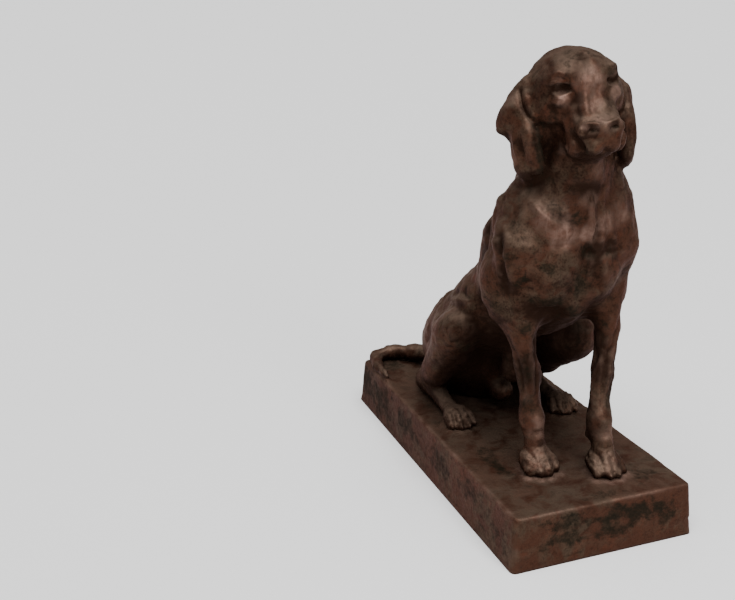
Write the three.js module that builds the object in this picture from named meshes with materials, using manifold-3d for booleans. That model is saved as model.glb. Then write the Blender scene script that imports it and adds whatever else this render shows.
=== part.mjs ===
// A seated hound on a rectangular plinth, as cast in iron for a garden or a doorway.
// Millimetres, +Z up, the hound faces -Y, and the origin is under the plinth's centre.
import * as THREE from "three";
import { MarchingCubes } from "three/addons/objects/MarchingCubes.js";
import Module from "manifold-3d";

// Driving dimensions
const PLINTH_LENGTH = 696; // along Y, at the top
const PLINTH_WIDTH = 330; // along X, at the top
const PLINTH_HEIGHT = 94;
const PLINTH_DRAFT = 7; // how far each side leans out at the foot
const PLINTH_CORNER = 9; // radius of the upright corners
const PLINTH_EDGE = 4; // width of the worn bevel round the top
const HOUND_HEIGHT = 704; // from the plinth's top to the crown of the head
const SEAT_GAP = 0.3; // between the hound's underside and the plinth
const HOUND_TRIANGLES = 9100;
const SAMPLE = 5.3; // spacing of the points at which the hound's forms are measured

// The hound's forms are drawn on a pattern 702 high from the plinth's top, and scaled to the real height.
const SCALE = HOUND_HEIGHT / 702;
const SIDE_EDGE = PLINTH_WIDTH / 2 / SCALE; // the plinth's edges as the pattern sees them
const BACK_EDGE = PLINTH_LENGTH / 2 / SCALE;
const RIGHT = -1; // the hound's own right side lies towards -X
const LEFT = 1;

// Forms are signed distances in the pattern's units, negative inside.

// An ellipsoid with its half-axes, tilted about X, banked about Y and turned about Z, in degrees.
function egg(centre, radii, [tilt, bank, turn] = [0, 0, 0]) {
  const angles = [tilt, bank, turn].map(THREE.MathUtils.degToRad);
  const m = new THREE.Matrix4().makeRotationFromEuler(new THREE.Euler(...angles, "ZYX")).elements;
  const [cx, cy, cz] = centre;
  const [a, b, c] = radii;
  return (x, y, z) => {
    const u = x - cx;
    const v = y - cy;
    const w = z - cz;
    const p = (m[0] * u + m[1] * v + m[2] * w) / a;
    const q = (m[4] * u + m[5] * v + m[6] * w) / b;
    const r = (m[8] * u + m[9] * v + m[10] * w) / c;
    const k = Math.sqrt(p * p + q * q + r * r);
    const slope = Math.sqrt((p * p) / (a * a) + (q * q) / (b * b) + (r * r) / (c * c));
    return slope < 1e-9 ? -Math.min(a, b, c) : (k * (k - 1)) / slope;
  };
}

// A round limb from start to end, with a radius at each.
function limb(start, end, startRadius, endRadius) {
  const [ax, ay, az] = start;
  const bx = end[0] - ax;
  const by = end[1] - ay;
  const bz = end[2] - az;
  const length2 = bx * bx + by * by + bz * bz;
  return (x, y, z) => {
    const u = x - ax;
    const v = y - ay;
    const w = z - az;
    const t = Math.min(1, Math.max(0, (u * bx + v * by + w * bz) / length2));
    const distance = Math.sqrt((u - t * bx) ** 2 + (v - t * by) ** 2 + (w - t * bz) ** 2);
    return distance - startRadius - t * (endRadius - startRadius);
  };
}

// A form seen from a frame of its own, such as the head's.
function inFrame(form, origin, [tilt, bank, turn]) {
  const angles = [tilt, bank, turn].map(THREE.MathUtils.degToRad);
  const m = new THREE.Matrix4().makeRotationFromEuler(new THREE.Euler(...angles, "ZYX")).elements;
  const [ox, oy, oz] = origin;
  return (x, y, z) => {
    const u = x - ox;
    const v = y - oy;
    const w = z - oz;
    return form(m[0] * u + m[1] * v + m[2] * w, m[4] * u + m[5] * v + m[6] * w, m[8] * u + m[9] * v + m[10] * w);
  };
}

// The same form on both sides
const sides = (form) => [RIGHT, LEFT].map(form);

// Adds clay, blended in over a distance, or cuts it away where the form is marked as a hollow.
const clay = (blend, ...forms) => forms.map((form) => ({ form, blend, hollow: false }));
const hollow = (blend, ...forms) => forms.map((form) => ({ form, blend, hollow: true }));

// All the forms of a group in order as one signed distance.
function model(...steps) {
  const list = steps.flat(Infinity);
  return (x, y, z) => {
    let d = 1e3;
    for (const { form, blend, hollow } of list) {
      const e = hollow ? -form(x, y, z) : form(x, y, z);
      const near = Math.max(0, blend - Math.abs(d - e)) / blend;
      const round = (near * near * blend) / 4;
      d = hollow ? Math.max(d, e) + round : Math.min(d, e) - round;
    }
    return d;
  };
}

// Trunk: the rib cage leans forward over the forelegs and the rump rests on the plinth
function trunk() {
  return [
    clay(20, egg([0, -98, 326], [103, 106, 144], [33, 0, 0])),
    clay(40, egg([0, 20, 222], [95, 84, 114], [40, 0, 0])),
    clay(40, egg([0, 122, 102], [78, 102, 92], [30, 0, 0])),
    clay(24, egg([0, 148, 24], [74, 92, 36])),
    clay(30, ...sides((s) => egg([s * 50, 138, 92], [54, 74, 76], [16, 0, s * -12]))),
    clay(30, egg([0, -168, 388], [76, 66, 82], [-6, 0, 0])),
    clay(18, ...sides((s) => egg([s * 42, -192, 358], [46, 44, 66], [-6, 0, s * 14]))),
    clay(24, limb([0, -188, 300], [0, -100, 262], 36, 40)),
    clay(20, ...sides((s) => egg([s * 56, -144, 284], [32, 60, 40], [-16, 0, 0]))),
    clay(24, ...sides((s) => egg([s * 56, -92, 382], [44, 50, 62], [30, 0, 0]))),
    clay(24, ...sides((s) => egg([s * 62, 84, 172], [44, 60, 62], [40, 0, 0]))),
    clay(28, ...sides((s) => egg([s * 62, 14, 218], [34, 56, 40], [38, 0, 0]))),
    hollow(14, egg([0, -244, 372], [7, 16, 52], [-8, 0, 0])),
  ];
}

function neck() {
  return [
    clay(30, limb([11, -146, 452], [6, -162, 600], 77, 58)),
    clay(30, ...sides((s) => limb([s * 60 + 15, -164, 446], [s * 28 + 14, -156, 545], 48, 29))),
    clay(24, limb([0, -190, 470], [0, -212, 552], 40, 26)),
    clay(30, limb([0, -104, 440], [0, -124, 600], 52, 44)),
  ];
}

// Shoulder, upper arm, forearm, wrist and paw of one side, with the forearm and the paw at given places
function foreleg(side, upperForearm, midForearm, [px, py]) {
  const elbow = [side * 98 + 5, -136, 262];
  const wrist = [px, py + 30, 84];
  return [
    clay(26, limb([side * 66, -132, 440], [side * 84, -176, 396], 38, 41)),
    clay(20, limb([side * 88, -182, 380], [side * 97 + 3, -150, 300], 38, 31)),
    clay(16, egg([side * 102, -130, 318], [23, 43, 56], [-24, 0, 0])),
    clay(12, limb(elbow, upperForearm, 17, 19)),
    clay(18, limb([side * 86 + 5, -174, 290], midForearm, 25, 16)),
    clay(12, limb(upperForearm, midForearm, 20, 17)),
    clay(10, limb(midForearm, wrist, 18, 19)),
    clay(9, egg([px, py + 24, 84], [22, 21, 25])),
    clay(9, limb([px, py + 26, 84], [px, py + 8, 36], 16, 19)),
    clay(5, egg([px - side * 17, py + 34, 58], [7, 9, 9])),
    paw([px, py]),
  ];
}

// A paw with four knuckled toes pointing along -Y, then turned
function paw([px, py], size = 1, turn = 0) {
  const place = new THREE.Matrix4().makeTranslation(px, py, 0);
  place.multiply(new THREE.Matrix4().makeRotationZ(THREE.MathUtils.degToRad(turn)));
  place.multiply(new THREE.Matrix4().makeScale(size, size, size));
  const at = (x, y, z) => new THREE.Vector3(x, y, z).applyMatrix4(place).toArray();
  const toes = [-25, -8.5, 8.5, 25];
  return [
    clay(10, egg(at(0, 6, 17), [30 * size, 30 * size, 22 * size], [0, 0, turn])),
    ...toes.map((x) => {
      const reach = Math.abs(x) > 12 ? -12 : -22;
      return [
        clay(4, limb(at(x * 0.75, reach + 26, 26), at(x * 0.98, reach + 4, 19), 9 * size, 9.5 * size)),
        clay(3, limb(at(x * 0.98, reach + 4, 17), at(x * 1.04, reach - 8, 9), 9.5 * size, 8.5 * size)),
      ];
    }),
  ];
}

// Thigh, knee, shank, hock and hind paw of one side, with the knee of a given thickness
function hindleg(side, knee, thickness, pawAt, turn) {
  const [kx, ky, kz] = knee;
  const [px, py] = pawAt;
  const hock = [side * 100, 150, 26];
  const calf = [side * 112, (ky + 150) / 2, 82];
  return [
    clay(26, egg([side * 90, ky + 72, 142], [38, 102, 56], [-28, 0, side * 8])),
    clay(24, egg([side * 64, 106, 126], [46, 76, 72])),
    clay(18, limb(knee, [side * 106, ky + 34, kz - 26], thickness, 38)),
    clay(14, limb([kx, ky + 6, kz - 16], calf, 30, 29)),
    clay(14, limb(calf, hock, 29, 22)),
    clay(12, limb(hock, [px, py + 32, 18], 20, 16)),
    clay(30, limb([side * 104, ky - 18, kz + 12], [side * 74, ky + 4, kz + 52], 15, 20)),
    paw(pawAt, 0.92, turn),
  ];
}

// The tail leaves the rump, curls round the back corner and lies along the plinth's edge
function tail() {
  const route = [
    [0, 184, 48],
    [-22, 236, 32],
    [-66, 298, 22],
    [19 - SIDE_EDGE * 0.77, BACK_EDGE - 20, 18],
    [18 - SIDE_EDGE, BACK_EDGE - 26, 14],
    [8 - SIDE_EDGE, BACK_EDGE - 68, 11],
    [8 - SIDE_EDGE, BACK_EDGE - 124, 8],
  ];
  const radii = [32, 23, 17, 15, 13, 10, 7];
  return route.slice(1).map((point, i) => clay(12, limb(route[i], point, radii[i], radii[i + 1])));
}

function groin() {
  return [
    clay(12, egg([2, -14, 96], [20, 22, 26])),
    clay(12, egg([0, 26, 40], [24, 30, 24])),
    clay(16, limb([0, -40, 190], [0, -16, 110], 22, 18)),
  ];
}

// The head in a frame of its own: the origin lies between the eyes and -Y is the gaze
function head() {
  const pair = (centre, radii, turns = [0, 0, 0]) =>
    sides((s) => egg([s * centre[0], centre[1], centre[2]], radii, [turns[0], s * turns[1], s * turns[2]]));
  return model(
    clay(10, egg([0, 44, -8], [67, 76, 60])),
    clay(20, egg([0, 10, 6], [54, 40, 35])),
    clay(18, ...pair([50, 26, -26], [22, 42, 32], [26, 0, 0])),
    clay(16, ...sides((s) => limb([s * 40, 36, -42], [s * 20, -22, -86], 23, 14))),
    clay(18, ...pair([19, -24, -45], [22, 40, 24], [34, 0, 0])),
    clay(12, egg([0, -24, -42], [16, 42, 23], [36, 0, 0])),
    clay(12, ...pair([19, -40, -70], [21, 30, 27], [-10, 0, 0])),
    clay(12, egg([0, -46, -78], [22, 27, 22], [-10, 0, 0])),
    clay(10, ...pair([30, -30, -80], [13, 23, 26], [-8, 0, 0])),
    clay(10, egg([0, -36, -98], [25, 28, 12])),
    clay(7, egg([-2, -62, -60], [37, 15, 16], [20, 0, 0])),
    clay(10, ...pair([38, -8, 18], [20, 16, 9], [0, 12, 24])),
    hollow(8, ...pair([46, -22, 1], [18, 17, 10], [0, 10, 26])),
    clay(3, ...pair([42, -5, 0], [14, 12, 10])),
    clay(5, ...pair([43, -14, -15], [15, 8, 6], [0, 10, 26])),
    hollow(8, ...pair([40, -48, -84], [6, 9, 15], [12, 0, 0])),
    hollow(10, ...pair([52, -8, -72], [9, 18, 14], [-20, 0, 0])),
    hollow(4, ...pair([17, -79, -65], [10, 9, 6])),
  );
}

// An ear hangs beside the cheek, narrow at its root, bulging at the back and square at the tip
function ear(side, drop, inset) {
  const at = (x, y, z) => [side * (x - inset), y, z];
  return model(
    clay(12, limb(at(66, 54, 6), at(92, 52, -30), 12, 13)),
    clay(10, limb(at(70, 38, -8), at(82, 24, -60), 9, 10)),
    clay(10, limb(at(78, 66, -4), at(104, 68, -48), 9, 9)),
    clay(12, egg(at(96, 46, -52), [11, 31, 32], [0, side * 4, side * -32])),
    clay(8, limb(at(98, 56, -48), at(113, 68, -66), 15, 7)),
    clay(12, limb(at(92, 46, -76), at(91, 37, -126 - drop), 9, 10)),
    clay(10, limb(at(82, 16, -66), at(76, 2, -120 - drop), 9, 9)),
    clay(18, egg(at(86, 26, -100 - drop / 2), [11, 24, 42 + drop / 2], [0, side * 6, side * -32])),
    clay(8, limb(at(88, 27, -80), at(84, 20, -126 - drop), 10, 10)),
  );
}

const onNeck = (form) => inFrame(form, [-14, -212, 650], [0, -7, -7]);
const figure = model(
  trunk(),
  neck(),
  foreleg(RIGHT, [-68, -161, 232], [-59, -178, 160], [-55, -218]),
  foreleg(LEFT, [102, -164, 232], [67, -209, 160], [49, -263]),
  hindleg(RIGHT, [-113, -4, 194], 31, [-108, -14], 3),
  hindleg(LEFT, [103, -52, 165], 46, [104, -26], -10),
  groin(),
  tail(),
  clay(16, onNeck(head())),
  clay(6, onNeck(ear(RIGHT, 0, 0)), onNeck(ear(LEFT, 7, 4))),
);

// The figure's skin as a welded mesh: marching cubes over the distances, measured closely near it
function skin(form) {
  const middleHeight = 351;
  const reach = Math.max(middleHeight, SIDE_EDGE, BACK_EDGE) + 6 * SAMPLE;
  const count = Math.ceil((2 * reach) / SAMPLE / 4) * 4;
  const cubes = new MarchingCubes(count, new THREE.MeshBasicMaterial(), false, false, 160000);
  const half = count / 2;
  const toPattern = (i, j, k) => [(i - half) * SAMPLE, (j - half) * SAMPLE, (k - half) * SAMPLE + middleHeight];
  cubes.isolation = 0;
  const block = 4;
  const far = block * SAMPLE * 2.2;
  for (let k = 0; k < count; k += block) {
    for (let j = 0; j < count; j += block) {
      for (let i = 0; i < count; i += block) {
        const middle = form(...toPattern(i + 1.5, j + 1.5, k + 1.5));
        for (let n = 0; n < block ** 3; n += 1) {
          const at = [i + (n % block), j + (Math.floor(n / block) % block), k + Math.floor(n / block ** 2)];
          const d = Math.abs(middle) > far ? middle : form(...toPattern(...at));
          cubes.field[at[0] + count * (at[1] + count * at[2])] = Math.abs(d) < 0.02 ? -0.02 : -d;
        }
      }
    }
  }
  cubes.update();

  // Every vertex lies on one edge of the grid, and that edge names it
  const names = new Map();
  const points = [];
  const corners = [];
  const p = cubes.positionArray;
  for (let n = 0; n < cubes.count; n += 1) {
    const g = [0, 1, 2].map((axis) => p[3 * n + axis] * half + half);
    const off = g.map((value) => Math.abs(value - Math.round(value)));
    const axis = off.indexOf(Math.max(...off));
    const cell = g.map((value, c) => (c === axis ? Math.floor(value) : Math.round(value)));
    const name = axis + 3 * (cell[0] + count * (cell[1] + count * cell[2]));
    if (!names.has(name)) {
      names.set(name, points.length);
      points.push(toPattern(...g));
    }
    corners.push(names.get(name));
  }
  const faces = [];
  for (let n = 0; n < corners.length; n += 3) {
    const face = corners.slice(n, n + 3);
    if (new Set(face).size === 3) {
      faces.push(face);
    }
  }
  return { points, faces };
}

// Thins a closed mesh to a number of triangles by closing up the edges that matter least to its form.
// care(point) is how many times dearer an error is there.
function thin({ points, faces }, target, care) {
  const around = points.map(() => new Set());
  faces.forEach((face, f) => face.forEach((v) => around[v].add(f)));
  const normal = (face, moved = -1, other = -1, to = null) => {
    const [a, b, c] = face.map((v) => (v === moved || v === other ? to : points[v]));
    const u = [b[0] - a[0], b[1] - a[1], b[2] - a[2]];
    const w = [c[0] - a[0], c[1] - a[1], c[2] - a[2]];
    return [u[1] * w[2] - u[2] * w[1], u[2] * w[0] - u[0] * w[2], u[0] * w[1] - u[1] * w[0]];
  };
  const dot = (a, b) => a[0] * b[0] + a[1] * b[1] + a[2] * b[2];

  // The squared distance from the planes round each vertex, as ten sums
  const error = points.map(() => new Float64Array(10));
  for (const face of faces) {
    const n = normal(face);
    const size = Math.sqrt(dot(n, n));
    if (size > 0) {
      const [a, b, c] = n.map((value) => value / size);
      const d = -dot([a, b, c], points[face[0]]);
      const terms = [a * a, a * b, a * c, a * d, b * b, b * c, b * d, c * c, c * d, d * d];
      face.forEach((v) => terms.forEach((term, i) => (error[v][i] += (term * size) / 6)));
    }
  }
  const errorAt = (q, [x, y, z]) =>
    x * (q[0] * x + 2 * (q[1] * y + q[2] * z + q[3])) + y * (q[4] * y + 2 * (q[5] * z + q[6])) +
    z * (q[7] * z + 2 * q[8]) + q[9];

  // A heap of edges, cheapest first
  const heap = [];
  const stamp = new Int32Array(points.length);
  const push = (a, b) => {
    const q = error[a].map((value, i) => value + error[b][i]);
    const m = new THREE.Matrix3().set(q[0], q[1], q[2], q[1], q[4], q[5], q[2], q[5], q[7]);
    const trace = q[0] + q[4] + q[7];
    const middle = points[a].map((value, i) => (value + points[b][i]) / 2);
    const choices = [middle, points[a], points[b]];
    if (m.determinant() > 1e-4 * trace ** 3) {
      const best = new THREE.Vector3(-q[3], -q[6], -q[8]).applyMatrix3(m.invert());
      const span = Math.hypot(...points[a].map((value, i) => value - points[b][i]));
      if (best.distanceTo(new THREE.Vector3(...middle)) < 1.2 * span) {
        choices.unshift(best.toArray());
      }
    }
    const costs = choices.map((choice) => errorAt(q, choice));
    const least = costs.indexOf(Math.min(...costs));
    const length = points[a].reduce((sum, value, i) => sum + (value - points[b][i]) ** 2, 0);
    const cost = (Math.max(0, costs[least]) + 1e-4 * length) * care(middle);
    heap.push({ cost, a, b, to: choices[least], stamps: stamp[a] + stamp[b] });
    let child = heap.length - 1;
    while (child > 0) {
      const parent = (child - 1) >> 1;
      if (heap[parent].cost <= heap[child].cost) {
        break;
      }
      [heap[parent], heap[child]] = [heap[child], heap[parent]];
      child = parent;
    }
  };
  const pop = () => {
    const top = heap[0];
    const last = heap.pop();
    if (heap.length > 0) {
      heap[0] = last;
      let parent = 0;
      while (2 * parent + 1 < heap.length) {
        let child = 2 * parent + 1;
        if (child + 1 < heap.length && heap[child + 1].cost < heap[child].cost) {
          child += 1;
        }
        if (heap[parent].cost <= heap[child].cost) {
          break;
        }
        [heap[parent], heap[child]] = [heap[child], heap[parent]];
        parent = child;
      }
    }
    return top;
  };
  const neighbours = (v) => {
    const found = new Set();
    around[v].forEach((f) => faces[f].forEach((other) => found.add(other)));
    found.delete(v);
    return found;
  };
  faces.forEach(([a, b, c]) => {
    [[a, b], [b, c], [c, a]].forEach(([from, to]) => from < to && push(from, to));
  });

  let left = faces.length;
  while (left > target && heap.length > 0) {
    const { a, b, to, stamps } = pop();
    if (around[a].size === 0 || around[b].size === 0 || stamp[a] + stamp[b] !== stamps) {
      continue;
    }
    const nearA = neighbours(a);
    const shared = [...neighbours(b)].filter((v) => nearA.has(v));
    const kept = [...around[a], ...around[b]].filter((f) => !(faces[f].includes(a) && faces[f].includes(b)));
    const upright = kept.every((f) => {
      const before = normal(faces[f]);
      const after = normal(faces[f], a, b, to);
      return dot(before, after) > 0.35 * Math.sqrt(dot(before, before) * dot(after, after));
    });
    if (!nearA.has(b) || shared.length !== 2 || !upright) {
      continue;
    }
    for (const f of [...around[b]]) {
      if (faces[f].includes(a)) {
        faces[f].forEach((v) => around[v].delete(f));
        faces[f] = null;
        left -= 1;
      } else {
        faces[f] = faces[f].map((v) => (v === b ? a : v));
        around[a].add(f);
      }
    }
    around[b].clear();
    points[a] = to;
    error[b].forEach((value, i) => (error[a][i] += value));
    stamp[a] += 1;
    neighbours(a).forEach((v) => {
      stamp[v] += 1;
    });
    const ring = neighbours(a);
    ring.forEach((v) => push(a, v));
    ring.forEach((v) => neighbours(v).forEach((w) => (w !== a && (!ring.has(w) || v < w) ? push(v, w) : null)));
  }
  return { points, faces: faces.filter((face) => face !== null) };
}

const { Manifold, Mesh } = await Module().then((wasm) => {
  wasm.setup();
  return wasm;
});

// A closed solid from welded points and faces
function solid({ points, faces }) {
  const used = new Map();
  const triVerts = Uint32Array.from(faces.flat(), (v) => {
    if (!used.has(v)) {
      used.set(v, used.size);
    }
    return used.get(v);
  });
  const vertProperties = Float32Array.from([...used.keys()].flatMap((v) => points[v]));
  return new Manifold(new Mesh({ numProp: 3, vertProperties, triVerts }));
}

// A three.js geometry as points and faces, welded where they coincide
function welded(geometry) {
  const p = geometry.getAttribute("position");
  const names = new Map();
  const points = [];
  const order = geometry.index ? [...geometry.index.array] : [...Array(p.count).keys()];
  const corners = order.map((i) => {
    const point = [p.getX(i), p.getY(i), p.getZ(i)];
    const name = point.map((value) => Math.round(value * 1000)).join();
    if (!names.has(name)) {
      names.set(name, points.length);
      points.push(point);
    }
    return names.get(name);
  });
  const faces = [];
  for (let n = 0; n < corners.length; n += 3) {
    const face = corners.slice(n, n + 3);
    if (new Set(face).size === 3) {
      faces.push(face);
    }
  }
  return { points, faces };
}

function meshOf(shape, name, material) {
  const { vertProperties, triVerts } = shape.getMesh();
  const geometry = new THREE.BufferGeometry();
  geometry.setAttribute("position", new THREE.BufferAttribute(vertProperties, 3));
  geometry.setIndex(new THREE.BufferAttribute(triVerts, 1));
  geometry.computeVertexNormals();
  const mesh = new THREE.Mesh(geometry, material);
  mesh.name = name;
  return mesh;
}

// The hound, cut flat where it sits on the plinth
function hound() {
  const care = ([x, y, z]) => {
    const head = THREE.MathUtils.smoothstep(z, 490, 530);
    const paws = 1 - THREE.MathUtils.smoothstep(z, 30, 60);
    const face = head * (1 - THREE.MathUtils.smoothstep(y, -190, -150));
    const middle = 1 - THREE.MathUtils.smoothstep(Math.abs(x), 60, 90);
    return 1 + 2 * head + 6 * face * middle + 1.5 * paws;
  };
  const { points, faces } = thin(skin(figure), HOUND_TRIANGLES, care);
  const placed = points.map(([x, y, z]) => [x * SCALE, y * SCALE, z * SCALE + PLINTH_HEIGHT]);
  const below = new THREE.BoxGeometry(2 * PLINTH_WIDTH, 2 * PLINTH_LENGTH, PLINTH_HEIGHT);
  below.translate(0, 0, PLINTH_HEIGHT / 2 + SEAT_GAP);
  return solid({ points: placed, faces }).subtract(solid(welded(below)));
}

// The plinth: a slab with rounded corners that spreads to its foot and is bevelled round its top
function plinth() {
  const x = PLINTH_WIDTH / 2 - PLINTH_CORNER;
  const y = PLINTH_LENGTH / 2 - PLINTH_CORNER;
  const outline = new THREE.Shape();
  outline.absarc(x, y, PLINTH_CORNER, 0, Math.PI / 2);
  outline.absarc(-x, y, PLINTH_CORNER, Math.PI / 2, Math.PI);
  outline.absarc(-x, -y, PLINTH_CORNER, Math.PI, Math.PI * 1.5);
  outline.absarc(x, -y, PLINTH_CORNER, Math.PI * 1.5, Math.PI * 2);
  const slab = new THREE.ExtrudeGeometry(outline, { depth: 2, steps: 2, bevelEnabled: false, curveSegments: 5 });
  const p = slab.getAttribute("position");
  const levels = [
    { z: 0, outset: PLINTH_DRAFT },
    { z: PLINTH_HEIGHT - PLINTH_EDGE, outset: 0 },
    { z: PLINTH_HEIGHT, outset: -PLINTH_EDGE },
  ];
  for (let i = 0; i < p.count; i += 1) {
    const { z, outset } = levels[Math.round(p.getZ(i))];
    p.setXYZ(i, p.getX(i) + Math.sign(p.getX(i)) * outset, p.getY(i) + Math.sign(p.getY(i)) * outset, z);
  }
  return solid(welded(slab));
}

const iron = (color) => new THREE.MeshStandardMaterial({ color, roughness: 0.62, metalness: 0.3 });
const group = new THREE.Group();
group.name = "cast iron hound on a plinth";
group.add(meshOf(plinth(), "plinth", iron(0x4e3829)));
group.add(meshOf(hound(), "hound", iron(0x4b352a)));
export default group;
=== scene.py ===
import math

import bmesh
import bpy
import numpy as np
from mathutils import Euler, Matrix, Vector
from mathutils.bvhtree import BVHTree
from mathutils.kdtree import KDTree


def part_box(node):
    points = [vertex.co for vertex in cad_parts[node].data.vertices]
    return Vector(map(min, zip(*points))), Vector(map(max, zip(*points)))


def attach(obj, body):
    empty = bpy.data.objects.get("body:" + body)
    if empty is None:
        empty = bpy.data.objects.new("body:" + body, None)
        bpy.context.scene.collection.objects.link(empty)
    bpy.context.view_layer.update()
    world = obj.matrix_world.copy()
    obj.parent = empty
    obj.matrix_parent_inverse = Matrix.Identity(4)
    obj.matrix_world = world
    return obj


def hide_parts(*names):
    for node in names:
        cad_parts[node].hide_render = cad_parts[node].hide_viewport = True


bl_info = {
    "name": "Cast Iron Hound",
    "version": (1, 0, 0),
    "blender": (4, 5, 0),
    "location": "View3D > Sidebar > Hound",
    "description": "Gives the seated hound and its plinth their modelled relief, weathered iron and a studio stage",
    "category": "Object",
}

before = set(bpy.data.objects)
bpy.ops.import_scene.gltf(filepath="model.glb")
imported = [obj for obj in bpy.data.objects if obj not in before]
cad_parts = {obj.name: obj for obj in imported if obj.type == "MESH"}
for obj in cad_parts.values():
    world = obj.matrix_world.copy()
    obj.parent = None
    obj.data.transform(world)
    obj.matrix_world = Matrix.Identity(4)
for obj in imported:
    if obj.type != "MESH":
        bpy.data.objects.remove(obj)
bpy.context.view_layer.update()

PLINTH_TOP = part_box("plinth")[1].z * 1000
PATTERN = (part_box("hound")[1].z * 1000 - PLINTH_TOP) / 702
RIGHT, LEFT = -1, 1  # the hound's own sides: its right lies towards -X


def metres(name, text, default, **more):
    return bpy.props.FloatProperty(
        name=name, description=text, default=default, unit="LENGTH", precision=4, **more
    )


def share(name, text, default):
    return bpy.props.FloatProperty(
        name=name, description=text, default=default, min=0, max=3, subtype="FACTOR"
    )


def colour(name, text, default):
    return bpy.props.FloatVectorProperty(
        name=name, description=text, default=default, size=3, min=0, max=1, subtype="COLOR"
    )


class HoundSettings(bpy.types.PropertyGroup):
    grain: metres("Body grain", "Size of the faces that the body's relief is modelled on", 0.0044, min=0.002)
    relief: share("Relief", "Strength of the modelled folds, muscles and features", 1.0)
    rough: metres("Roughness of the casting", "Height of the uneven skin that the mould left", 0.0005, min=0)


class PlinthSettings(bpy.types.PropertyGroup):
    grain: metres("Plinth grain", "Size of the faces that the plinth's relief is modelled on", 0.0055, min=0.003)
    draft: metres("Draft", "How far each side leans out at the foot", 0.007, min=0)
    corner: metres("Corner", "Radius of the upright corners", 0.009, min=0.001)
    edge: metres("Edge", "Size of the worn round of the top edge", 0.0045, min=0.001)
    weld: metres("Weld", "Height of the fillet where the hound meets the plinth", 0.004, min=0)
    rough: metres("Unevenness", "Height of the waves in the plinth's top and sides", 0.0011, min=0)


class IronSettings(bpy.types.PropertyGroup):
    brown: colour("Brown", "The weathered iron's own brown", (0.050, 0.0205, 0.0125))
    # the shade colour also stands for painted shade under the hound, in its hollows and where the sky is hidden
    shade: colour("Shade", "Darker brown in broad patches and hollows", (0.016, 0.0072, 0.0045))
    rust: colour("Rust", "Redder brown patches", (0.070, 0.0225, 0.0125))
    # the rubbed colour is also painted highlight on the face, breast, paws and thigh
    rubbed: colour("Rubbed and Lit", "Paler brown where the iron is rubbed", (0.200, 0.122, 0.096))
    olive: colour("Olive", "Greyer brown in broad patches", (0.060, 0.044, 0.030))
    stain: colour("Stain", "Greenish black stains", (0.0098, 0.0090, 0.0058))
    dust: colour("Dust", "Pale dust on what faces up", (0.112, 0.076, 0.056))


class StageSettings(bpy.types.PropertyGroup):
    floor: colour("Floor", "The studio floor", (0.86, 0.86, 0.86))
    lens: bpy.props.FloatProperty(
        name="Lens", description="Focal length of the camera", default=48.17, min=10, unit="CAMERA"
    )
    key: bpy.props.FloatProperty(
        name="Key light", description="Strength of the broad light from above and in front", default=4.2, min=0
    )
    spread: bpy.props.FloatProperty(
        name="Key spread", description="How broad the key light is", default=math.radians(55), subtype="ANGLE"
    )
    fill: bpy.props.FloatProperty(
        name="Fill light", description="Power of the small light that draws the highlights",
        default=15, unit="POWER",
    )
    sky: bpy.props.FloatProperty(
        name="Surroundings", description="Strength of the even light all round", default=0.38
    )


# Modelling. The points of a fine mesh are pushed about as clay is, in millimetres.


def noise(points, size, seed):
    """Smooth noise from -1 to 1 at points, with hills of a given size."""
    p = points / size + seed * 17.31
    low = np.floor(p).astype(np.int64)
    t = p - low
    t = t * t * (3 - 2 * t)
    total = np.zeros(len(points))
    for dx in (0, 1):
        for dy in (0, 1):
            for dz in (0, 1):
                cell = (low[:, 0] + dx) * 73856093 ^ (low[:, 1] + dy) * 19349663
                cell = cell ^ (low[:, 2] + dz) * 83492791
                cell = (cell ^ (cell >> 13)) * 1274126177 & 0x7FFFFFFF
                value = (cell ^ (cell >> 16)) % 65536 / 32768 - 1
                weight = np.abs(1 - dx - t[:, 0]) * np.abs(1 - dy - t[:, 1]) * np.abs(1 - dz - t[:, 2])
                total += value * weight
    return total


def smoothstep(low, high, value):
    t = np.clip((value - low) / (high - low), 0, 1)
    return t * t * (3 - 2 * t)


def dabs(points, size, seed):
    """Rounded dabs with creases between them, as clay is pressed on with a thumb; from about -1 to 1."""
    drift = np.stack([noise(points, size * 1.7, seed + i) for i in (1, 2, 3)], axis=1) * size * 0.45
    return 2.6 * np.abs(noise(points + drift, size, seed)) - 1


def curve_through(points, step):
    """A smooth line through points, as closely spaced points."""
    p = np.array(points, float)
    if len(p) == 1:
        return p
    p = np.vstack([2 * p[0] - p[1], p, 2 * p[-1] - p[-2]])
    line = []
    for a, b, c, d in zip(p, p[1:], p[2:], p[3:]):
        count = max(2, int(np.linalg.norm(c - b) / step))
        for t in np.arange(count) / count:
            bend = (2 * a - 5 * b + 4 * c - d) * t**2
            line.append(0.5 * (2 * b + (c - a) * t + bend + (3 * b - a - 3 * c + d) * t**3))
    line.append(p[-2])
    return np.array(line)


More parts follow.
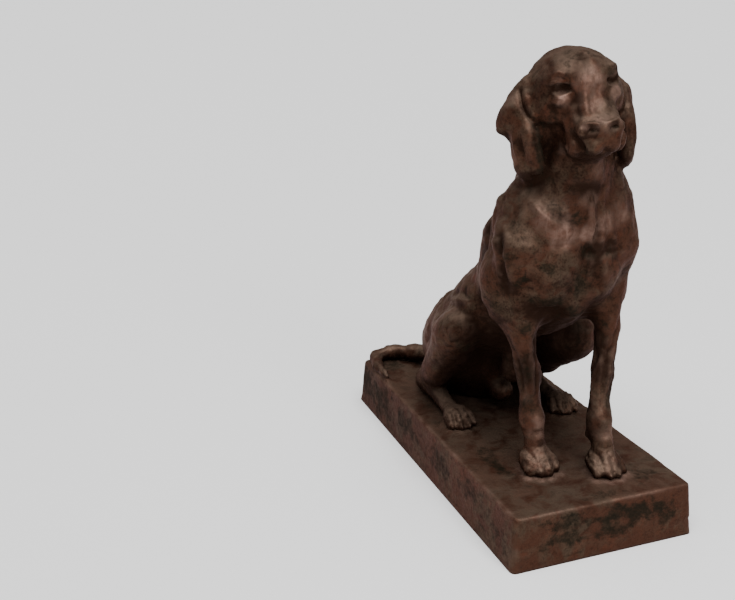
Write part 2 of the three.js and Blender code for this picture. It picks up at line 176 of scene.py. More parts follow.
class Clay:
    """A mesh whose points are moved along its own surface's normals."""

    def __init__(self, mesh, strength=1.0):
        self.mesh = mesh
        self.strength = strength
        flat = np.empty(len(mesh.vertices) * 3, np.float32)
        mesh.vertices.foreach_get("co", flat)
        self.at = flat.reshape(-1, 3).astype(float) * 1000
        mesh.calc_loop_triangles()
        corners = np.empty(len(mesh.loop_triangles) * 3, np.int32)
        mesh.loop_triangles.foreach_get("vertices", corners)
        self.triangles = corners.reshape(-1, 3)
        ends = np.empty(len(mesh.edges) * 2, np.int32)
        mesh.edges.foreach_get("vertices", ends)
        self.edges = ends.reshape(-1, 2)
        self.links = np.maximum(np.bincount(ends, minlength=len(self.at)), 1)[:, None]
        lengths = np.linalg.norm(self.at[self.edges[:, 0]] - self.at[self.edges[:, 1]], axis=1)
        self.spacing = self.spread(lengths)
        self.feel()

    def spread(self, lengths):
        """The mean length of the edges at each point."""
        total = np.bincount(self.edges[:, 0], lengths, len(self.at))
        total += np.bincount(self.edges[:, 1], lengths, len(self.at))
        return total / self.links[:, 0]

    def feel(self):
        """Measures the normals again."""
        a, b, c = (self.at[self.triangles[:, i]] for i in range(3))
        across = np.cross(b - a, c - a)
        normal = np.zeros_like(self.at)
        for i in range(3):
            for axis in range(3):
                normal[:, axis] += np.bincount(self.triangles[:, i], across[:, axis], len(self.at))
        self.normal = normal / np.maximum(np.linalg.norm(normal, axis=1), 1e-9)[:, None]

    def nearest(self, point):
        return int(np.argmin(((self.at - point) ** 2).sum(1)))

    def line(self, points, width, height, taper=0.25, power=2.0):
        """Raises or sinks a line through points laid on the surface; height below nothing is a groove."""
        seats = [self.nearest(np.array(p, float)) for p in points]
        path = curve_through(self.at[seats], max(width * 0.35, 0.8))
        reach = width * 2.4
        low, high = path.min(0) - reach, path.max(0) + reach
        near = np.flatnonzero(((self.at > low) & (self.at < high)).all(1))
        if len(near) == 0:
            return
        apart = np.linalg.norm(self.at[near][:, None, :] - path[None], axis=2)
        closest = apart.argmin(1)
        along = closest / max(len(path) - 1, 1)
        weight = np.exp(-((apart.min(1) / width) ** power))
        if taper > 0 and len(path) > 1:
            weight *= smoothstep(0, taper, along) * smoothstep(0, taper, 1 - along)
        facing = self.normal[seats].mean(0)
        local = self.normal[seats][np.minimum((along * len(seats)).astype(int), len(seats) - 1)]
        weight *= smoothstep(-0.2, 0.5, (self.normal[near] * (local + 0.2 * facing)).sum(1))
        self.at[near] += self.normal[near] * (weight * height * self.strength)[:, None]

    def bulge(self, centre, radii, height, turn=0.0, tilt=0.0):
        """Swells or sinks the surface inside an ellipsoid turned about Z and tilted about X, in degrees."""
        turned = Matrix.Rotation(math.radians(turn), 3, "Z") @ Matrix.Rotation(math.radians(tilt), 3, "X")
        away = (self.at - np.array(centre, float)) @ np.array(turned) / np.array(radii, float)
        far = (away**2).sum(1)
        near = np.flatnonzero(far < 1)
        self.at[near] += self.normal[near] * (((1 - far[near]) ** 2) * height * self.strength)[:, None]

    def pull(self, centre, radius, move):
        """Drags what lies round a point by a given move."""
        far = ((self.at - np.array(centre, float)) ** 2).sum(1) / radius**2
        near = np.flatnonzero(far < 1)
        self.at[near] += ((1 - far[near]) ** 2)[:, None] * np.array(move, float)

    def relax(self, weight, times):
        """Smooths where weight is over nothing."""
        for _ in range(times):
            self.at += (self.average(self.at) - self.at) * np.reshape(weight, (-1, 1))

    def soothe(self, centre, radius, times):
        """Smooths what lies round a point."""
        far = ((self.at - np.array(centre, float)) ** 2).sum(1) / radius**2
        self.relax(0.6 * np.clip(1 - far, 0, 1), times)

    def average(self, values):
        total = np.empty_like(values)
        for axis in range(values.shape[1]):
            total[:, axis] = np.bincount(self.edges[:, 0], values[self.edges[:, 1], axis], len(values))
            total[:, axis] += np.bincount(self.edges[:, 1], values[self.edges[:, 0], axis], len(values))
        return total / self.links

    def standing_out(self, times):
        """How far each point stands out of its smoothed surroundings, at any spacing of the points."""
        pace = 0.6 * np.clip(self.spacing.min() * 1.6 / self.spacing, 0.1, 1) ** 2
        smoothed = self.at.copy()
        for _ in range(times):
            smoothed += (self.average(smoothed) - smoothed) * pace[:, None]
        return ((self.at - smoothed) * self.normal).sum(1)

    def keep(self):
        self.mesh.vertices.foreach_set("co", (self.at / 1000).astype(np.float32).ravel())
        self.mesh.update()


def paint(mesh, name, values):
    """Keeps one value for each point, for the materials to read."""
    layer = mesh.attributes.get(name) or mesh.attributes.new(name, "FLOAT", "POINT")
    layer.data.foreach_set("value", np.asarray(values, np.float32))


# Places on the hound. The pattern is 702 mm high from the plinth's top; the head has a frame of its own.

HEAD_SEAT = np.array([-14.0, -212.0, 650.0])
HEAD_TURN = np.array(Matrix.Rotation(math.radians(-7), 3, "Z") @ Matrix.Rotation(math.radians(-7), 3, "Y"))


def on_body(points):
    return [np.array(p, float) * PATTERN + (0, 0, PLINTH_TOP) for p in points]


def on_head(points, side=1):
    return on_body([HEAD_TURN @ np.array([side * p[0], p[1], p[2]], float) + HEAD_SEAT for p in points])


FACE_BOTH_SIDES = [
    # eye socket, lids and the bag below
    ("bulge", (44, -20, 2), (21, 16, 11), -8.0),
    ("bulge", (43, -10, 0), (11, 12, 7), 3.0),
    ("line", [(57, -8, 1), (51, -14, 7), (43, -18, 9), (34, -22, 6), (27, -25, 0)], 2.4, 3.0),
    ("line", [(57, -9, -3), (50, -16, -8), (42, -21, -10), (34, -24, -7), (27, -26, -2)], 2.4, 2.2),
    ("line", [(56, -9, -1), (49, -15, -2), (42, -18, -2), (33, -22, -1)], 2.4, -1.6),
    ("bulge", (43, -18, -18), (18, 13, 12), 5.5),
    ("line", [(58, -8, -20), (52, -15, -31), (43, -21, -37), (35, -28, -46)], 5.0, -2.6),
    ("line", [(58, -4, 9), (50, -11, 15), (41, -16, 17), (31, -22, 11)], 2.8, -2.0),
    ("line", [(52, -8, 19), (43, -14, 22), (33, -20, 18)], 4.5, 2.2),
    ("line", [(28, -27, -4), (22, -33, -14), (21, -42, -28)], 4.0, -1.8),
    # muzzle, nose and lips
    ("line", [(14, -34, 2), (16, -44, -20), (19, -58, -42)], 5.0, 3.0),
    ("line", [(27, -28, -8), (29, -40, -26), (32, -50, -46)], 6.0, -4.0),
    ("line", [(46, -18, -34), (44, -28, -50), (42, -36, -66)], 6.0, 2.6),
    ("line", [(31, -60, -49), (22, -67, -47), (11, -73, -48), (0, -75, -49)], 3.4, 3.4),
    ("line", [(31, -60, -50), (34, -60, -58), (30, -66, -66)], 3.4, 2.4),
    ("line", [(28, -69, -57), (20, -73, -57), (12, -75, -58), (8, -76, -62)], 4.4, -7.5),
    ("line", [(41, -42, -58), (38, -50, -68), (32, -58, -80), (24, -64, -92)], 5.0, -6.0),
    ("bulge", (15, -70, -82), (22, 18, 17), 4.5),
    ("line", [(44, -40, -66), (42, -46, -80), (36, -48, -96)], 5.0, 2.4),
    ("bulge", (43, -32, -85), (6, 7, 6), 3.0),
    ("line", [(48, -16, -74), (48, -24, -86), (44, -32, -97), (36, -38, -103)], 4.0, -4.4),
    ("line", [(34, -40, -102), (24, -54, -100), (12, -62, -101), (0, -64, -101)], 4.0, -4.4),
    # cheek over the throat, and the crease along the ear's front
    ("line", [(73, 12, -56), (60, 2, -60), (50, -8, -62), (45, -18, -72)], 5.5, -5.5),
    ("line", [(70, 12, -48), (58, 0, -50), (50, -10, -52)], 6.0, 2.5),
]
FACE_MIDDLE = [
    ([(0, -33, 14), (0, -22, 32), (0, -4, 45), (0, 26, 53)], 6.5, -2.2),
    ([(0, -38, -2), (0, -48, -26), (0, -62, -44)], 5.0, -0.9),
    ([(0, -77, -58), (0, -77, -70), (0, -73, -88), (0, -66, -98)], 2.4, -2.2),
]


def shape_face(clay):
    for side in (RIGHT, LEFT):
        for kind, where, size, height in FACE_BOTH_SIDES:
            if kind == "line":
                clay.line(on_head(where, side), size, height, taper=0.3)
            else:
                clay.bulge(on_head([where], side)[0], size, height, turn=side * 26 - 7)
        clay.feel()
    for where, size, height in FACE_MIDDLE:
        clay.line(on_head(where), size, height, taper=0.3)
    for side in (RIGHT, LEFT):
        # the cheek's foot and the lips come out soft
        clay.soothe(on_head([(60, 4, -64)], side)[0], 34, 10)
        clay.soothe(on_head([(14, -64, -84)], side)[0], 26, 3)
    # so do the bag and the brow of the left eye
    clay.soothe(on_head([(46, -16, -26)], LEFT)[0], 26, 5)
    clay.soothe(on_head([(54, -4, 14)], LEFT)[0], 26, 8)
    clay.feel()


# the ear's lengthwise folds: where each starts, how wide and how high it is
EAR_FOLDS = [(98, 46, 5, -3.4), (92, 34, 5, 3.0), (88, 24, 4, -3.6), (84, 12, 4, 3.0), (80, 2, 3, -2.6)]


def shape_ears(clay):
    for side in (RIGHT, LEFT):
        drop = 9 if side == LEFT else 0
        front = [(81, 50, 3), (84, 41, -11), (85, 24, -32), (73, 14, -56), (71, 4, -64)]
        clay.line(on_head(front, side), 3.2, -5.0, taper=0.15)
        beside = [(77, 40, 2), (79, 30, -14), (78, 14, -34), (70, 6, -50)]
        clay.line(on_head(beside, side), 6.0, 3.8, taper=0.3)
        for x, y, width, height in EAR_FOLDS:
            fold = [(x, y + 4, -52), (x - 2, y, -84), (x - 6, y - 6, -118 - drop)]
            clay.line(on_head(fold, side), width, height, taper=0.4)
        rim = [(112, 66, -70), (104, 56, -92)]
        rim += [(97, 48, -124 - drop), (84, 24, -138 - drop), (76, 2, -128 - drop)]
        clay.line(on_head(rim, side), 3.0, 1.8, taper=0.2)
        clay.feel()


BODY_LINES = [
    # collar crease and the folds over the breastbone
    ([(-66, -210, 456), (-50, -216, 447), (-30, -226, 440), (-9, -230, 427)], 2.6, -3.4),
    ([(-66, -206, 462), (-48, -216, 454), (-28, -224, 447)], 5.0, 2.6),
    ([(-78, -196, 470), (-72, -208, 450), (-56, -218, 438)], 6.0, 2.6),
    ([(-2, -222, 500), (4, -228, 465), (8, -231, 425), (6, -231, 396)], 4.6, 4.4),
    ([(28, -226, 436), (30, -228, 412), (24, -232, 396)], 4.5, 3.2),
    ([(17, -230, 444), (19, -231, 418), (14, -232, 392)], 3.5, -3.4),
    ([(2, -231, 392), (10, -232, 386), (20, -232, 392)], 6.0, -3.0),
    ([(24, -232, 390), (44, -230, 384), (66, -226, 384), (90, -220, 392)], 5.0, -2.0),
    ([(8, -232, 376), (2, -234, 350), (8, -230, 322)], 5.0, -1.4),
    ([(30, -232, 380), (38, -228, 350), (42, -222, 320)], 4.5, 2.2),
    ([(42, -218, 440), (52, -214, 410), (60, -216, 392)], 5.0, 2.4),
    # arm against the chest, both sides
    (
        [(-119, -166, 430), (-127, -184, 396), (-125, -188, 358), (-119, -187, 328), (-108, -187, 300)],
        6.5, -4.2,
    ),
    ([(-112, -180, 424), (-118, -196, 392), (-114, -200, 356), (-104, -200, 322)], 5.0, 2.4),
    ([(117, -170, 410), (122, -188, 380), (118, -188, 340)], 3.6, -3.6),
    # shoulder blade and ribs
    ([(-92, -110, 470), (-112, -120, 420), (-126, -132, 370)], 7.0, 2.4),
    ([(92, -110, 470), (112, -120, 420), (126, -132, 370)], 7.0, 2.4),
    ([(-84, -70, 470), (-106, -84, 410), (-118, -92, 350), (-112, -90, 310)], 5.0, -2.6),
    ([(84, -70, 470), (106, -84, 410), (118, -92, 350), (112, -90, 310)], 5.0, -2.6),
    ([(-110, -110, 300), (-92, -60, 262), (-92, -30, 246)], 5.0, -2.4),
    # skin folds in front of the thigh
    ([(-98, 60, 226), (-105, 20, 240), (-100, -16, 244), (-92, -38, 226)], 4.4, 3.2),
    ([(-90, 58, 238), (-98, 10, 254), (-90, -28, 250)], 5.0, -2.2),
    ([(-108, 30, 224), (-108, -6, 226), (-98, -30, 212)], 5.0, -2.2),
    ([(92, 30, 222), (102, -30, 232), (92, -60, 226), (86, -74, 208)], 5.0, 2.4),
]


BODY_SWELLS = [
    # the breast's two masses, the collar between them and the hollow under it
    ((-54, -212, 432), (44, 36, 40), 7.0),
    ((-84, -196, 452), (26, 30, 34), 3.0),
    ((62, -208, 436), (38, 36, 50), 6.0),
    ((8, -226, 446), (13, 26, 46), 4.5),
    ((30, -224, 450), (10, 24, 40), 3.5),
    ((12, -230, 386), (24, 24, 20), -4.0),
    ((-54, -208, 316), (50, 36, 26), 5.0),
    ((34, -214, 312), (46, 36, 26), 4.0),
    ((-44, -198, 284), (64, 40, 20), -6.0),
    ((-84, -202, 392), (30, 26, 34), 4.0),
    ((-20, -226, 410), (20, 24, 12), -2.5),
    ((-50, -222, 352), (40, 34, 44), 3.5),
    ((48, -220, 346), (26, 34, 44), 4.0),
    ((22, -226, 344), (14, 24, 50), -2.0),
    # throat
    ((-44, -206, 540), (16, 26, 30), 4.0),
    ((-20, -214, 530), (10, 20, 40), -3.5),
    ((6, -216, 536), (14, 22, 44), 4.0),
    ((28, -212, 530), (9, 20, 40), -3.5),
    ((52, -196, 530), (16, 26, 40), 3.5),
    ((-70, -186, 500), (18, 30, 44), -3.0),
    ((0, -222, 492), (46, 26, 14), -3.0),
    # shoulders
    ((-126, -160, 420), (24, 40, 44), 4.0),
    ((126, -160, 420), (24, 40, 44), 4.0),
    ((-124, -140, 330), (24, 36, 60), 5.0),
    ((124, -130, 330), (22, 36, 50), 4.0),
    ((-112, -84, 340), (20, 24, 60), -4.0),
    ((112, -84, 340), (20, 24, 60), -4.0),
]


SWELL_HEIGHT, LINE_WIDTH, LINE_HEIGHT = 1.3, 1.25, 1.9


def shape_body(clay):
    for where, radii, height in BODY_SWELLS:
        clay.bulge(on_body([where])[0], radii, height * SWELL_HEIGHT)
    clay.feel()
    for where, width, height in BODY_LINES:
        clay.line(on_body(where), width * LINE_WIDTH, height * LINE_HEIGHT, taper=0.3)
    clay.soothe(on_body([(0, -180, 268)])[0], 80, 12)
    clay.feel()


FOREPAWS = [(RIGHT, (-55, -218), 1.0, 0), (LEFT, (49, -263), 1.0, 0)]
HIND_PAWS = [(RIGHT, (-108, -14), 0.92, 3), (LEFT, (104, -26), 0.92, -10)]


def shape_paws(clay):
    for _, (px, py), size, turn in FOREPAWS + HIND_PAWS:
        swing = np.array(Matrix.Rotation(math.radians(turn), 3, "Z")) * size

        def at(*points):
            return on_body([swing @ np.array(p, float) + (px, py, 0) for p in points])

        for x in (-16.5, 0, 16.5):
            toe_end = -34 if x == 0 else -26
            cleft = at((x * 0.8, 8, 38), (x, -8, 34), (x * 1.05, toe_end + 6, 22), (x * 1.08, toe_end, 6))
            clay.line(cleft, 2.6, -2.4, taper=0.2)
        for x in (-25, -8.5, 8.5, 25):
            reach = -12 if abs(x) > 12 else -22
            clay.bulge(at((x, reach + 6, 30))[0], (8, 8, 8), 1.4)
            claw = at((x * 1.03, reach - 12, 18), (x * 1.04, reach - 17, 10), (x * 1.05, reach - 18, 5))
            clay.line(claw, 2.4, 3.0, taper=0.2)
            root = at((x - 6, reach - 12, 14), (x, reach - 13, 18), (x + 6, reach - 12, 14))
            clay.line(root, 1.6, -1.4, taper=0.2)
        clay.feel()
    # the forepaws came out of the mould blunt, the right one most
    clay.soothe(on_body([(-57, -240, 16)])[0], 46, 14)
    clay.soothe(on_body([(49, -285, 16)])[0], 40, 6)
    clay.feel()


FORELEGS = [
    (RIGHT, (-68, -161), (-59, -178), (-55, -218)),
    (LEFT, (102, -164), (67, -209), (49, -263)),
]


def shape_legs(clay):
    for side, (ux, uy), (mx, my), (px, py) in FORELEGS:
        clay.bulge(on_body([(side * 113, -128, 262)])[0], (20, 22, 24), 4.0)
        # the forearm's muscles over the bone, from the elbow to the wrist
        for top, middle, end, width, height in (
            ((ux + side * 18, uy - 4, 250), (mx + side * 15, my - 4, 175), (px + side * 15, py + 28, 115), 4.5, -4.6),
            ((ux + side * 6, uy - 22, 262), (mx + side * 5, my - 16, 180), (px + side * 3, py + 12, 112), 4.5, 4.2),
            ((ux - side * 4, uy - 22, 268), (mx - side * 5, my - 16, 178), (px - side * 6, py + 12, 116), 4.0, -4.0),
            ((mx - side * 14, my - 8, 200), (mx - side * 17, my - 4, 150), (px - side * 18, py + 26, 100), 4.0, 4.2),
            ((ux - side * 16, uy - 8, 256), (mx - side * 17, my + 2, 190), (mx - side * 17, my + 4, 150), 4.5, -3.4),
        ):
            clay.line(on_body([top, middle, end]), width, height)
        # tendons over the wrist, its skin folds and the pads behind it
        clay.bulge(on_body([(px, py + 8, 84)])[0], (16, 12, 18), 2.4)
        clay.line(on_body([(px - 16, py + 12, 72), (px, py + 4, 70), (px + 16, py + 12, 72)]), 2.4, -2.0)
        clay.line(on_body([(px - 15, py + 10, 60), (px, py + 2, 58), (px + 15, py + 10, 60)]), 2.6, 1.6)
        clay.line(on_body([(px - 17, py + 8, 50), (px, py - 4, 47), (px + 17, py + 8, 50)]), 2.6, -1.8)
        clay.feel()


def shape_haunches(clay):
    for side, ky, kz in ((RIGHT, -4, 194), (LEFT, -52, 170)):
        groove = [(side * 124, ky + 40, kz + 10), (side * 132, ky + 80, kz - 30), (side * 126, ky + 120, kz - 80)]
        clay.line(on_body(groove), 7, -2.6)
        ridge = [(side * 140, ky + 2, kz - 20), (side * 142, ky + 30, kz - 60), (side * 134, ky + 70, kz - 96)]
        clay.line(on_body(ridge), 6, 2.6)
        clay.bulge(on_body([(side * 128, ky - 16, kz + 10)])[0], (26, 26, 30), 3.0)
        clay.line(on_body([(side * 106, 130, 52), (side * 104, 100, 40), (side * 108, 50, 30)]), 4, 2.0)
        clay.bulge(on_body([(side * 108, 168, 40)])[0], (16, 18, 20), 3.0)
        clay.feel()


# Small forms joined to the hound: what fills the space behind each ear, the bags under the eyes, the lips
LUMPS = [
    *((on_head([(62, 30, -72)], s)[0], (16, 20, 28), (0, 0, s * -20)) for s in (RIGHT, LEFT)),
    *((on_head([(68, 34, -104)], s)[0], (14, 18, 28), (0, 0, s * -20)) for s in (RIGHT, LEFT)),
    *((on_head([(42, -14, -16)], s)[0], (16, 10, 8), (0, s * 10, s * 26)) for s in (RIGHT, LEFT)),
    *((on_head([(44, -10, 10)], s)[0], (16, 9, 5), (0, s * 12, s * 26)) for s in (RIGHT, LEFT)),
    *((on_head([(15, -60, -84)], s)[0], (17, 13, 15), (0, 0, s * 10)) for s in (RIGHT, LEFT)),
    *((on_head([(36, -36, -86)], s)[0], (11, 16, 19), (-16, 0, s * 6)) for s in (RIGHT, LEFT)),
]


def clothe_hound():
    """The hound's own shape, remeshed finely enough to model on, finest on the head and the paws."""
    settings = bpy.context.scene.hound_casting
    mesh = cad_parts["hound"].data.copy()
    work = bmesh.new()
    work.from_mesh(mesh)
    bmesh.ops.remove_doubles(work, verts=work.verts, dist=1e-5)
    bmesh.ops.subdivide_edges(
        work, edges=[e for e in work.edges if e.calc_length() > 0.010], cuts=1, smooth=0.6, use_grid_fill=False
    )
    bmesh.ops.triangulate(work, faces=work.faces)
    for where, radii, turns in LUMPS:
        lump = bmesh.ops.create_icosphere(work, subdivisions=3, radius=1.0)
        turned = Euler([math.radians(a) for a in turns]).to_matrix()
        turned = turned @ Matrix.Diagonal(Vector(radii) * PATTERN / 1000)
        place = Matrix.Translation(Vector(where) / 1000) @ turned.to_4x4()
        bmesh.ops.transform(work, verts=lump["verts"], matrix=place)
    for _ in range(2):
        bmesh.ops.smooth_vert(
            work, verts=[v for v in work.verts if v.co.z * 1000 > PLINTH_TOP + 4], factor=0.4,
            use_axis_x=True, use_axis_y=True, use_axis_z=True,
        )
    work.to_mesh(mesh)
    work.free()
    mesh.materials.clear()
    hound = bpy.data.objects.new("hound_casting", mesh)
    bpy.context.scene.collection.objects.link(hound)
    remesh = hound.modifiers.new("fine faces", "REMESH")
    remesh.mode = "VOXEL"
    remesh.voxel_size = settings.grain
    remesh.use_smooth_shade = True
    bpy.context.view_layer.update()
    fine = bpy.data.meshes.new_from_object(hound.evaluated_get(bpy.context.evaluated_depsgraph_get()))
    hound.modifiers.clear()
    hound.data = fine
    bpy.data.meshes.remove(mesh)

    work = bmesh.new()
    work.from_mesh(fine)
    paws = [on_body([(px, py, 20)])[0] for _, (px, py), _, _ in FOREPAWS + HIND_PAWS]

    def close_up(face):
        p = np.array(face.calc_center_median()) * 1000
        if p[2] > on_body([(0, 0, 512)])[0][2] and p[1] < -120:
            return True
        return any(abs(p[0] - c[0]) < 46 and -52 < p[1] - c[1] < 40 and p[2] < PLINTH_TOP + 52 for c in paws)

    chosen = {e for f in work.faces if close_up(f) for e in f.edges}
    bmesh.ops.subdivide_edges(work, edges=list(chosen), cuts=1, use_grid_fill=True)
    work.to_mesh(fine)
    work.free()
    fine.name = "hound_casting"
    return hound


def shelter(clay, walls, count=7000, rays=20, reach=0.22):
    """How much of the sky each point is hidden from by the hound and the plinth round it, from 0 to 1, for painted
    shade.
    """
    rng = np.random.default_rng(5)
    picked = rng.choice(len(clay.at), min(count, len(clay.at)), replace=False)
    tree = KDTree(len(picked))
    hidden = np.zeros(len(picked))
    for i, v in enumerate(picked):
        normal = Vector(clay.normal[v])
        start = Vector(clay.at[v] / 1000) + normal * 0.002
        for way in rng.normal(size=(rays, 3)):
            way = Vector(way / np.linalg.norm(way)) + normal * 1.02 + Vector((0, 0, 0.35))
            hidden[i] += walls.ray_cast(start, way.normalized(), reach)[0] is not None
        tree.insert(start, i)
    tree.balance()
    hidden /= rays
    value = np.empty(len(clay.at))
    for v, at in enumerate(clay.at / 1000):
        near = tree.find_n(at, 4)
        weights = [1 / (0.003 + far) for _, _, far in near]
        value[v] = sum(w * hidden[i] for w, (_, i, _) in zip(weights, near)) / sum(weights)
    return value


def walls_of(*meshes):
    """What blocks the light, as one tree of the faces of several meshes."""
    points, faces = [], []
    for mesh in meshes:
        faces += [[v + len(points) for v in face.vertices] for face in mesh.polygons]
        points += [v.co for v in mesh.vertices]
    return BVHTree.FromPolygons(points, faces)


def weather(mesh, clay, stains, rubbed=(), darkened=(), depth=1.0):
    """Paints what stands out and the rubbed places with painted highlights, what lies deep with painted shade under
    the hound and where the sky is hidden, what faces up and where old stains sit.
    """
    clay.feel()
    fine = clay.standing_out(30)
    broad = clay.standing_out(160)
    worn = np.clip(fine / 0.8, 0, 1) * 0.6 + np.clip(broad / 3.0, 0, 1) * 0.5
    worn *= 1 - 0.45 * smoothstep(PLINTH_TOP + 70, PLINTH_TOP + 40, clay.at[:, 2])
    # listed rubbed places, partly painted highlights
    for where, radius, strength in rubbed:
        far = np.linalg.norm(clay.at - np.array(where, float), axis=1) / radius
        worn = np.maximum(worn, strength * smoothstep(1.0, 0.2, far + noise(clay.at, 12, 9) * 0.25))
    paint(mesh, "raised", worn)
    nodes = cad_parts
    # painted shade where the hound and the plinth hide the sky
    paint(mesh, "occlusion_shade", depth * shelter(clay, walls_of(nodes["hound"].data, nodes["plinth"].data)))
    # painted shade where the surface faces down; the listed patches add darker places
    under = smoothstep(-0.1, -0.8, clay.normal[:, 2])
    dim = 0.9 * under
    for where, radius, strength in darkened:
        far = np.linalg.norm((clay.at - np.array(where, float)) / radius, axis=1)
        dim = np.maximum(dim, strength * smoothstep(1.2, 0.3, far + noise(clay.at, 20, 6) * 0.4))
    paint(mesh, "sunk_and_shaded", np.clip(-fine / 0.8, 0, 1) * 0.7 + np.clip(-broad / 3.0, 0, 1) * 0.7 + dim)
    paint(mesh, "facing_up", np.clip(clay.normal[:, 2], 0, 1))
    amount = np.zeros(len(clay.at))
    warp = noise(clay.at, 16, 3) * 0.5 + noise(clay.at, 6, 4) * 0.35
    for where, radius, strength in stains:
        far = np.linalg.norm((clay.at - np.array(where, float)) / radius, axis=1)
        amount = np.maximum(amount, strength * smoothstep(1.15, 0.2, far + warp))
    paint(mesh, "stain", amount)


HOUND_STAINS = [
    # breast and throat
    ((-97, -210, 442), (16, 30, 22), 1.0),
    ((-63, -230, 463), (16, 30, 12), 0.9),
    ((-125, -198, 474), (20, 30, 26), 0.7),
    ((8, -231, 484), (24, 30, 20), 0.8),
    ((-50, -222, 552), (22, 30, 20), 0.7),
    ((-20, -226, 540), (30, 30, 14), 0.8),
    ((-100, -200, 520), (14, 30, 24), 0.6),
    ((-2, -226, 430), (40, 30, 30), 0.7),
    ((60, -220, 440), (34, 30, 22), 0.7),
    ((-60, -222, 400), (44, 30, 26), 0.7),
    ((20, -226, 370), (50, 30, 34), 0.8),
    ((70, -214, 360), (26, 30, 40), 0.6),
    # arm and forelegs
    ((-82, -214, 340), (20, 30, 24), 0.9),
    ((-78, -214, 305), (16, 30, 26), 0.9),
    ((-74, -208, 262), (16, 30, 36), 0.8),
    ((-66, -196, 210), (16, 30, 40), 0.8),
    ((-60, -196, 160), (14, 30, 34), 0.7),
    ((66, -232, 220), (14, 30, 40), 0.7),
    ((-130, -170, 400), (20, 40, 40), 0.6),
    ((50, -270, 110), 16, 0.6),
    ((34, -244, 150), 12, 0.6),
    ((-56, -236, 122), 14, 0.6),
    # forehead, muzzle, ears
    ((-26, -212, 792), (40, 30, 22), 0.5),
    ((20, -208, 786), (26, 30, 20), 0.4),
    ((-44, -268, 690), (14, 12, 18), 0.7),
    *((on_head([(19, -72, -58)], s)[0], (9, 9, 4), 1.3) for s in (RIGHT, LEFT)),
    # dark between the right ear and the neck, partly stain and partly painted shade
    ((-74, -206, 632), (12, 26, 44), 1.0),
    ((-74, -200, 680), (12, 26, 24), 0.7),
    # flank
    ((-96, -30, 250), 18, 0.8),
    ((-92, -36, 205), (22, 30, 34), 0.8),
]


HOUND_DARKENED = [
    # darker patches on the forehead, temples and cheeks
    ((-40, -216, 782), (44, 40, 24), 0.9),
    ((16, -212, 786), (40, 40, 18), 0.8),
    (on_head([(66, 2, 0)], RIGHT)[0], (18, 24, 30), 0.5),
    (on_head([(30, -26, -34)], RIGHT)[0], (12, 18, 26), 0.6),
    # painted shade on the lower breast, arms and forearms
    ((-30, -220, 372), (70, 40, 26), 0.6),
    ((6, -228, 470), (30, 40, 16), 0.5),
    ((-118, -150, 330), (24, 60, 60), 0.5),
    ((-78, -190, 250), (24, 40, 60), 0.5),
    ((80, -200, 260), (26, 40, 70), 0.4),
    # painted shade on the belly, thighs and what lies behind the forelegs
    ((-120, 60, 170), (40, 60, 50), 0.4),
    ((-110, 40, 120), (60, 90, 24), 0.7),
]


# eye bag, brow, nose, lip and ear, on each side of the head: rubbed places with painted highlights
FACE_RUBBED_AND_LIT = [
    ((42, -22, -16), 17, 1.3),
    ((44, -12, 12), 11, 0.9),
    ((28, -64, -52), 10, 0.9),
    ((48, -34, -88), 9, 0.8),
    ((104, 56, -20), 26, 0.5),
]
# rubbed places with painted highlights on the face, muzzle, breast, paws, ears and thighs
HOUND_RUBBED_AND_LIT = [
    *((on_head([at], s)[0], radius, k) for s in (RIGHT, LEFT) for at, radius, k in FACE_RUBBED_AND_LIT),
    (on_head([(0, -30, 10)])[0], 34, 0.9),
    (on_head([(-4, -44, -14)])[0], 30, 0.6),
    (on_head([(0, -66, -48)])[0], 24, 0.6),
    (on_body([(-58, -212, 452)])[0], 40, 0.7),
    (on_body([(-36, -226, 424)])[0], 36, 1.1),
    (on_body([(6, -232, 420)])[0], 24, 1.1),
    (on_body([(2, -226, 470)])[0], 22, 0.9),
    (on_body([(-55, -214, 78)])[0], 28, 0.7),
    (on_body([(49, -255, 72)])[0], 26, 0.7),
    (on_body([(10, -222, 520)])[0], 26, 0.5),
    (on_body([(-36, -210, 556)])[0], 16, 0.6),
    (on_head([(96, 44, -104)], RIGHT)[0], 26, 0.5),
    (on_body([(-92, -200, 400)])[0], 24, 0.4),
    (on_body([(34, -228, 430)])[0], 28, 0.7),
    (on_body([(70, -210, 440)])[0], 30, 0.7),
    (on_body([(-116, 0, 214)])[0], 26, 0.7),
    (on_body([(-134, 30, 190)])[0], 20, 0.6),
    (on_body([(-55, -236, 36)])[0], 34, 0.3),
    (on_body([(49, -281, 34)])[0], 34, 0.3),
    (on_body([(-72, -196, 130)])[0], 16, 0.6),
]


